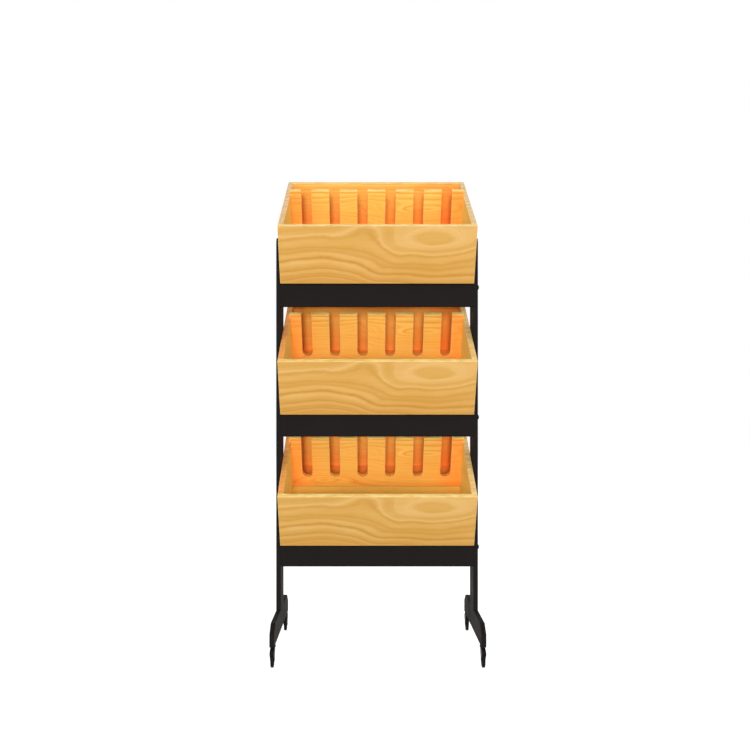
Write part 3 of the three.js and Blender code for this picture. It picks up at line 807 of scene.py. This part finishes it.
def steel_material(name, edge, base, roughness=None, height=0.0001):
    """Painted or blackened steel with a fine surface and paler edges."""
    material, graph, shader, place, wear_and_highlight = new_material(name)
    coat = graph.effect("Powder coat", Place=place, Worn=wear_and_highlight, Colour=opaque(base), Edge=opaque(edge))
    bump = graph.node("ShaderNodeBump", {"Height": coat["Height"], "Strength": 0.3, "Distance": height})
    graph.feed(shader, {
        "Base Color": coat["Colour"],
        "Roughness": coat["Roughness"] if roughness is None else roughness,
        "Specular IOR Level": 0.02,
        "Normal": bump.outputs[0],
    })
    return material


def slot_material(slot):
    """The material of a slot of the frame or casters, made once: name, colour, roughness, surface height."""
    steel, caster = bpy.context.scene.rack_steel, bpy.context.scene.rack_caster
    name, *finish = {
        "frame_paint": ("Frame powder coat", steel.paint),
        "bolt_steel": ("Blackened bolt", steel.bolt, 0.45),
        "caster_steel": ("Caster steel", caster.fork, 0.42),
        "caster_wheel": ("Wheel nylon", caster.wheel, 0.6, 0.0002),
    }[slot]
    return bpy.data.materials.get(name) or steel_material(name, steel.wear_and_highlight, *finish)


# Operators


class RACK_OT_crate_boards(bpy.types.Operator):
    """Makes the front, side and back boards and the floor of the three crates"""

    bl_idname = "rack.crate_boards"
    bl_label = "Crate boards"

    def execute(self, context):
        wood = context.scene.rack_wood
        for tier in TIERS:
            for part, slot in (
                ("front_board", "crate_wood"),
                ("left_side", "crate_wood"),
                ("right_side", "crate_wood"),
                ("back_board", "inner_wood"),
                ("floor", "inner_wood"),
            ):
                low, high = crate_box(tier, f"crate_{part}")
                surface = tilted(board(low, high, wood.ease), tier)
                cuts = [tilted(self.groove(tier, wood.groove_gap), tier)] if part.endswith("side") else []
                add_piece(f"{tier}_{part}", surface, STAND, slot, f"{tier}_crate_{part}",
                          wood_material(tier, part), cuts)
        return {"FINISHED"}

    def groove(self, tier, gap):
        """The room round a crate's slotted panel, which ends in the side boards' grooves."""
        low, high = crate_box(tier, "crate_slotted_panel")
        return board(low - gap, high + (gap, gap, 2 * gap), gap / CORNER)


class RACK_OT_slotted_panels(bpy.types.Operator):
    """Makes the three slotted panels that hold the bottles' necks"""

    bl_idname = "rack.slotted_panels"
    bl_label = "Slotted panels"

    def execute(self, context):
        wood = context.scene.rack_wood
        half = wood.slot_width / 2
        for tier in TIERS:
            low, high = crate_box(tier, "crate_slotted_panel")
            centres = (np.arange(wood.slot_count) - (wood.slot_count - 1) / 2)[::-1] * wood.slot_pitch
            foot = high[2] - wood.slot_depth
            ends = np.array([[half, high[2]], [half, foot], [-half, foot], [-half, high[2]]])
            slots = (ends[None] + np.stack([centres, np.zeros_like(centres)], 1)[:, None]).reshape(-1, 2)
            corners = [(low[0], low[2]), (high[0], low[2]), (high[0], high[2]), *slots, (low[0], high[2])]
            # a hair less than half the width, so the two arcs of a slot's foot don't meet in one point
            edge, round_foot = CORNER * wood.ease, 0.999 * half
            radii = [edge] * 3 + [edge, round_foot, round_foot, edge] * len(centres) + [edge]
            outline = rounded_outline(corners, radii, 8)
            surface = tilted(placed(pulled(outline, -high[1], -low[1], wood.ease), TO_FRONT), tier)
            add_piece(f"{tier}_slotted_panel", surface, STAND, "inner_wood", f"{tier}_crate_slotted_panel",
                      wood_material(tier, "slotted_panel"))
        return {"FINISHED"}


class RACK_OT_side_frames(bpy.types.Operator):
    """Makes the two uprights and their long feet"""

    bl_idname = "rack.side_frames"
    bl_label = "Uprights and feet"

    def execute(self, context):
        steel = context.scene.rack_steel
        for side in SIDES:
            for part, outline, seats in (
                ("post", self.post_outline(side, steel), self.sunk_seats(side, steel)),
                ("foot", self.foot_outline(side, steel), self.foot_seats(side, steel)),
            ):
                low, high = row_box(f"{side}_{part}")
                surface = placed(pulled(outline, low[0], high[0], steel.ease), ALONG_X)
                add_piece(f"{side}_steel_{part}", surface, STAND, "frame_paint", f"{side}_{part}", cuts=seats)
        return {"FINISHED"}

    def post_outline(self, side, steel):
        low, high = row_box(f"{side}_post")
        edge = CORNER * steel.ease
        return box_outline(low[1:], high[1:], [edge, edge, steel.post_corner, steel.post_corner], 12)

    def foot_outline(self, side, steel):
        low, high = row_box(f"{side}_foot")
        shoulder = high[2] - steel.foot_cut_drop
        front, rear = low[1] + steel.foot_cut_length, high[1] - steel.foot_cut_length
        corners = [(low[1], low[2]), (high[1], low[2]), (high[1], shoulder),
                   (rear, high[2]), (front, high[2]), (low[1], shoulder)]
        return rounded_outline(corners, 2 * steel.ease, 4)

    def sunk_seats(self, side, steel):
        """The cones in the left upright that take the flush bolts."""
        if side == "right":
            return []
        gap, seats = steel.seat_gap, []
        for tier in TIERS:
            bolt = f"{tier}_left_bar_bolt"
            radius = row_half(bolt)[2] + gap
            tip = (steel.bolt_radius + gap, -steel.sunk_depth - gap)
            cone = turned([tip, (radius, 0), (radius, 10 * gap)])
            seats.append(placed(cone, TO_LEFT, (row_box(bolt)[0][0], *row_middle(bolt)[1:])))
        return seats

    def foot_seats(self, side, steel):
        """The round recesses under a foot that hide the bolt heads."""
        foot_low, _ = row_box(f"{side}_foot")
        seats = []
        for end in ENDS:
            bolt = f"{side}_{end}_foot_bolt"
            radius = row_half(bolt)[0] + steel.seat_gap
            top = row_box(bolt)[0][2] + steel.foot_head_height
            room = turned([(radius, foot_low[2] - OVERRUN), (radius, top)])
            seats.append(placed(room, ALONG_Z, (*row_middle(bolt)[:2], 0)))
        return seats


class RACK_OT_tier_supports(bpy.types.Operator):
    """Makes the bars between the uprights and the angle rails under the crates"""

    bl_idname = "rack.tier_supports"
    bl_label = "Bars and rails"

    def execute(self, context):
        steel = context.scene.rack_steel
        for tier in TIERS:
            for end in ENDS:
                node = f"{tier}_{end}_bar"
                bar = bevelled_bar(node, steel.ease)
                add_piece(f"{tier}_{end}_steel_bar", bar, STAND, "frame_paint", node)
            for side in SIDES:
                low, high = crate_box(tier, f"{side}_rail")
                rail = tilted(angle_rail(low, high, steel.rail_thickness, side, steel.ease / 2), tier)
                add_piece(f"{tier}_{side}_angle", rail, STAND, "frame_paint", f"{tier}_{side}_rail")
        return {"FINISHED"}


BOLT_BEVEL, STEM_BEVEL, AXLE_BEVEL = 0.0002, 0.0003, 0.00015  # bevels on turned pieces, in metres
DOME_ANGLE = math.radians(66)  # where a domed head's curve ends in its flat


class RACK_OT_bolts(bpy.types.Operator):
    """Makes the bolts of the front bars and of the feet, with hexagonal sockets"""

    bl_idname = "rack.bolts"
    bl_label = "Bolts"

    def execute(self, context):
        steel = context.scene.rack_steel
        for tier in TIERS:
            self.make(steel, f"{tier}_left_bolt", f"{tier}_left_bar_bolt", self.sunk, TO_LEFT)
            self.make(steel, f"{tier}_right_bolt", f"{tier}_right_bar_bolt", self.domed, ALONG_X)
        for side in SIDES:
            for end in ENDS:
                self.make(steel, f"{side}_{end}_cap_bolt", f"{side}_{end}_foot_bolt", self.headed, DOWN)
        return {"FINISHED"}

    def make(self, steel, name, node, profile, axes):
        """A bolt whose head's top lies on the end of the node's box that the third axis points to."""
        low, high = row_box(node)
        way = np.array(axes[2])
        axis = np.abs(way).argmax()
        top = np.where(way > 0, high, np.where(way < 0, low, (low + high) / 2))
        bolt = turned(profile(high[axis] - low[axis], row_half(node)[2 - axis], steel))
        corner = steel.socket / 2 / math.cos(math.pi / 6)
        socket = turned([(corner, -steel.socket_depth), (corner, steel.socket_depth)], 6)
        add_piece(name, placed(bolt, axes, top), STAND, "bolt_steel", node,
                  cuts=[placed(socket, axes, top)], bevel=BOLT_BEVEL)

    def domed(self, size, head, steel):
        """A shank and half an ellipse above the seat, (head cos a, height sin a), up to a small flat."""
        a = np.linspace(0, DOME_ANGLE, 9)
        rise = steel.head_height * np.sin(a) / math.sin(DOME_ANGLE)
        dome = np.stack([head * np.cos(a), rise - steel.head_height], 1)
        return [(steel.bolt_radius, -size), (steel.bolt_radius, -steel.head_height), *dome]

    def sunk(self, size, head, steel):
        """A shank that opens in a cone to a flat head."""
        return [(steel.bolt_radius, -size), (steel.bolt_radius, -steel.sunk_depth), (head, 0)]

    def headed(self, size, head, steel):
        """A shank with a round cap head."""
        seat = -steel.foot_head_height
        return [(steel.bolt_radius, -size), (steel.bolt_radius, seat), (head, seat), (head, 0)]


# Small sizes of the casters, in metres
CROWN_GAP = 0.0003  # room above and below the fork's crown
PIN_HEAD, HEAD_CHAMFER = 0.0038, 0.0004  # radius and chamfer of the kingpin's head
RACE_CHAMFER, GROOVE_DEPTH, GROOVE_HALF = 0.001, 0.0007, 0.0003  # the race, and the groove between its shells
STEM_RADIUS = 0.004
AXLE_RADIUS, AXLE_HEAD = 0.0025, 0.0004  # radius between the axle's heads, and their height
BORE, HUB, RIM_WIDTH, DISH = 0.0026, 0.006, 0.0045, 0.0012  # the wheel's radii, rim and depth of its web
WHEEL_ROUNDING = (0.0002, 0.0004, 0.0006, 0.0006, 0.0004)  # its corners' radii, from the bore to the rim
LIP_SLANT = math.radians(3)  # the hood's arc stops this much before the lip's corner


class RACK_OT_casters(bpy.types.Operator):
    """Makes the four swivel casters: stem and race, hooded fork, axle and wheel"""

    bl_idname = "rack.casters"
    bl_label = "Casters"

    def execute(self, context):
        caster = context.scene.rack_caster
        fork = None
        for end in ENDS:
            for side in SIDES:
                key = f"{end}_{side}"
                stem, axle = row_middle(f"{key}_caster_stem"), row_middle(f"{key}_caster_axle")
                axes = ALONG_Z if axle[1] < stem[1] else BACKWARD
                foot = (*stem[:2], 0)
                add_piece(f"{key}_stem", placed(self.stem(key, caster), axes, foot), STAND, "caster_steel",
                          f"{key}_caster_stem", bevel=STEM_BEVEL)
                if fork is None:
                    fork = self.fork(key, abs(axle[1] - stem[1]), axle[2], caster)
                settle(copied(fork, f"{key}_fork", axes, foot), f"{key}_swivel",
                       f"{key}_caster_fork")
                add_piece(f"{key}_axle", placed(self.axle(key), ALONG_X, axle), f"{key}_swivel",
                          "caster_steel", f"{key}_caster_axle", bevel=AXLE_BEVEL)
                add_piece(f"{key}_wheel_disc", placed(self.wheel(key, caster), ALONG_X, axle),
                          f"{key}_wheel", "caster_wheel", f"{key}_caster_wheel")
        bpy.data.objects.remove(fork)
        return {"FINISHED"}

    def stem(self, key, caster):
        """The headed kingpin, the race with the groove between its two shells, and the stem above it."""
        low, high = row_box(f"{key}_caster_stem")
        foot_low, _ = row_box(f"{key.split('_')[1]}_foot")
        _, fork_high = row_box(f"{key}_caster_fork")
        seat, crown = foot_low[2], fork_high[2]
        bottom, radius = crown + CROWN_GAP, row_half(f"{key}_caster_stem")[0]
        head_top = crown - caster.crown - CROWN_GAP
        middle = (seat + bottom) / 2
        return turned([
            (PIN_HEAD - HEAD_CHAMFER, low[2]), (PIN_HEAD, low[2] + HEAD_CHAMFER), (PIN_HEAD, head_top),
            (caster.pin, head_top), (caster.pin, bottom), (radius - RACE_CHAMFER, bottom),
            (radius, bottom + RACE_CHAMFER), (radius, middle - GROOVE_HALF), (radius - GROOVE_DEPTH, middle),
            (radius, middle + GROOVE_HALF), (radius, seat), (STEM_RADIUS, seat), (STEM_RADIUS, high[2]),
        ], 48)

    def fork(self, key, trail, axle_height, caster):
        """A hooded fork about the stem: the outline's crown runs level from the back to above the axle, turns
        round the axle to the lip, and comes back by the boss round the axle. The room between the cheeks is
        cut out."""
        low, high = row_box(f"{key}_caster_fork")
        stem_y = row_middle(f"{key}_caster_stem")[1]
        half, crown = (high[0] - low[0]) / 2, high[2]
        reach, back = stem_y - low[1], high[1] - stem_y
        boss, hood = axle_height - low[2], crown - axle_height
        turn = math.asin((reach - trail) / hood) - LIP_SLANT
        edge = CORNER * caster.bend
        knee = -trail - hood * math.tan(turn / 2)
        lip = crown - (reach + knee) * math.tan(turn)
        corners = [(-trail - boss, low[2]), (-trail + boss, low[2]), (-trail + boss, axle_height),
                   (back, crown - caster.lip), (back, crown), (knee, crown), (-reach, lip),
                   (-trail - boss, axle_height)]
        round_boss, hollow = 0.9 * boss, 0.05 * boss
        radii = [round_boss, round_boss, hollow, edge, edge, hood, edge, hollow]
        body = pulled(rounded_outline(corners, radii, 12), -half, half, caster.bend)
        fork = new_piece("fork", placed(body, ALONG_X), slot_material("caster_steel"))

        inside, under = hood - caster.crown, crown - caster.crown
        knee = -trail - inside * math.tan(turn / 2)
        end = np.array([-trail - inside * math.sin(turn), axle_height + inside * math.cos(turn)])
        outward = np.array([-math.sin(turn), math.cos(turn)])
        along = np.array([-math.cos(turn), -math.sin(turn)]) * caster.crown
        far = end + along + outward * hood
        corners = [(back + hood, -hood), (back + hood, under), (knee, under), end + along, far,
                   (far[0], -hood)]
        room_half = half - caster.cheek
        radii = [edge, edge, inside, hollow, edge, edge]
        room = pulled(rounded_outline(corners, radii, 12), -room_half, room_half, caster.bend / 2)
        bore = caster.pin + caster.running_gap
        pin = turned([(bore, under - OVERRUN), (bore, crown + OVERRUN)])
        cut_away(fork, [placed(room, ALONG_X), pin])
        return fork

    def axle(self, key):
        """A pin with a low head at each end."""
        half, _, radius = row_half(f"{key}_caster_axle")
        neck, rim = half - AXLE_HEAD, radius - AXLE_HEAD
        return turned([(rim, -half), (radius, -neck), (AXLE_RADIUS, -neck),
                       (AXLE_RADIUS, neck), (radius, neck), (rim, half)])

    def wheel(self, key, caster):
        """A wheel turned from a closed profile: bore, hub, dished web, rim and rounded tread."""
        half, _, radius = row_half(f"{key}_caster_wheel")
        rim = radius - RIM_WIDTH
        side = [(BORE, -half), (HUB, -half), (HUB + DISH, DISH - half),
                (rim - DISH, DISH - half), (rim, -half), (radius, -half)]
        other = [(across, -height) for across, height in side[::-1]]
        rounding = [*WHEEL_ROUNDING, caster.tread]
        points, _ = rounded_outline(side + other, rounding + rounding[::-1], 4)
        return turned_ring(points)


SENSOR_WIDTH, FLOOR_REACH = 36.0, 30.0  # in millimetres, and in metres
WHITE = (1, 1, 1, 1)
# Each lamp's name, level, direction from the rack, distance and width, in metres
LAMPS = (
    ("Front lamp", "front", (-0.03, -1.0, 0.0), 8.0, 1.3),
    ("Top lamp", "top", (0.05, -0.25, 1.0), 3.2, 2.0),
    ("Left lamp", "side", (-1.4, -1.0, 0.08), 7.0, 2.8),
    ("Right lamp", "side", (1.4, -1.0, 0.08), 7.0, 2.8),
    ("Back left lamp", "back", (-1.0, 0.7, 0.2), 7.0, 2.8),
    ("Back right lamp", "back", (1.0, 0.7, 0.2), 7.0, 2.8),
)


class RACK_OT_stage(bpy.types.Operator):
    """Makes the floor, the light and the camera"""

    bl_idname = "rack.stage"
    bl_label = "Stage"

    def execute(self, context):
        stage = context.scene.rack_stage
        self.make_floor(stage)
        self.make_world(stage)
        self.make_lamps(stage)
        self.make_camera(context, stage)
        return {"FINISHED"}

    def empty_graph(self, data):
        data.use_nodes = True
        data.node_tree.nodes.clear()
        return Graph(data.node_tree)

    def split_by_ray(self, graph, output, lighting, plain):
        """One surface for the rack's light, and a plain one for the camera, for gloss and through glass."""
        path = graph.node("ShaderNodeLightPath").outputs
        seen = graph.math("MAXIMUM", path["Is Camera Ray"], path["Is Glossy Ray"])
        seen = graph.math("MAXIMUM", seen, path["Is Transmission Ray"])
        surface = graph.node("ShaderNodeMixShader", {0: seen, 1: lighting, 2: plain}).outputs[0]
        graph.node(output, {"Surface": surface})

    def make_floor(self, stage):
        mesh = bpy.data.meshes.new("floor")
        corners = FLOOR_REACH * np.array([(-1, -1, 0), (1, -1, 0), (1, 1, 0), (-1, 1, 0)])
        mesh.from_pydata(corners.tolist(), [], [(0, 1, 2, 3)])
        floor = linked("floor", mesh)
        material = bpy.data.materials.new("Studio floor")
        graph = self.empty_graph(material)
        matt = graph.node("ShaderNodeBsdfDiffuse", {"Color": opaque([stage.floor_bounce] * 3)}).outputs[0]
        shaded = graph.node("ShaderNodeBsdfDiffuse", {"Color": opaque([stage.floor_shade] * 3)}).outputs[0]
        glow_level = 1.0 - stage.floor_shade * stage.ambient
        glow = graph.node("ShaderNodeEmission", {"Color": WHITE, "Strength": glow_level}).outputs[0]
        white = graph.node("ShaderNodeAddShader", {0: shaded, 1: glow}).outputs[0]
        self.split_by_ray(graph, "ShaderNodeOutputMaterial", matt, white)
        mesh.materials.append(material)

    def make_world(self, stage):
        world = bpy.data.worlds.new("Studio")
        bpy.context.scene.world = world
        graph = self.empty_graph(world)
        light, plain = (graph.node("ShaderNodeBackground", {"Color": WHITE, "Strength": level}).outputs[0]
                        for level in (stage.ambient, 1.0))
        self.split_by_ray(graph, "ShaderNodeOutputWorld", light, plain)

    def make_lamps(self, stage):
        centre = Vector(((np.array(cad_corners[0]) + np.array(cad_corners[1])) / 2).tolist())
        for name, level, towards, distance, size in LAMPS:
            lamp = bpy.data.lights.new(name, "AREA")
            # a white face square to a lamp of this power shows the given share of full white
            lamp.energy, lamp.size = getattr(stage, level) * (math.pi * distance) ** 2, size
            holder = linked(name, lamp)
            offset = Vector(towards).normalized() * distance
            holder.location = centre + offset
            holder.rotation_mode = "QUATERNION"
            holder.rotation_quaternion = offset.to_track_quat("Z", "Y")

    def make_camera(self, context, stage):
        edge = tier_origin("upper")
        camera = bpy.data.cameras.new("Camera")
        camera.lens, camera.sensor_width = stage.focal_length, SENSOR_WIDTH
        camera.shift_x, camera.shift_y = stage.shift_x, stage.shift_y
        holder = linked("Camera", camera)
        holder.location = (edge[0] - stage.camera_left, edge[1] - stage.camera_back, stage.camera_height)
        holder.rotation_euler = (math.pi / 2, 0, 0)
        context.scene.camera = holder
        context.scene.view_settings.view_transform = "Standard"


OPERATORS = (
    RACK_OT_crate_boards,
    RACK_OT_slotted_panels,
    RACK_OT_side_frames,
    RACK_OT_tier_supports,
    RACK_OT_bolts,
    RACK_OT_casters,
    RACK_OT_stage,
)


class RACK_PT_sidebar(bpy.types.Panel):
    """Lists the rack's settings and the steps that build it"""

    bl_idname = "RACK_PT_sidebar"
    bl_label = "Wine rack"
    bl_space_type = "VIEW_3D"
    bl_region_type = "UI"
    bl_category = "Wine Rack"

    def draw(self, context):
        for section, kind in SETTINGS.items():
            box = self.layout.box()
            for name in kind.__annotations__:
                box.prop(getattr(context.scene, section), name)
        for operator in OPERATORS:
            self.layout.operator(operator.bl_idname)


SETTINGS = {
    "rack_wood": RackWoodSettings,
    "rack_steel": RackSteelSettings,
    "rack_caster": RackCasterSettings,
    "rack_stage": RackStageSettings,
}
CLASSES = (*SETTINGS.values(), *OPERATORS, RACK_PT_sidebar)


def register():
    for item in CLASSES:
        bpy.utils.register_class(item)
    for name, settings in SETTINGS.items():
        setattr(bpy.types.Scene, name, PointerProperty(type=settings))


def unregister():
    for name in SETTINGS:
        delattr(bpy.types.Scene, name)
    for item in reversed(CLASSES):
        bpy.utils.unregister_class(item)


def main():
    """Builds the rack and its stage."""
    register()
    for operator in OPERATORS:
        section, name = operator.bl_idname.split(".")
        getattr(getattr(bpy.ops, section), name)()


if __name__ == "__main__":
    main()
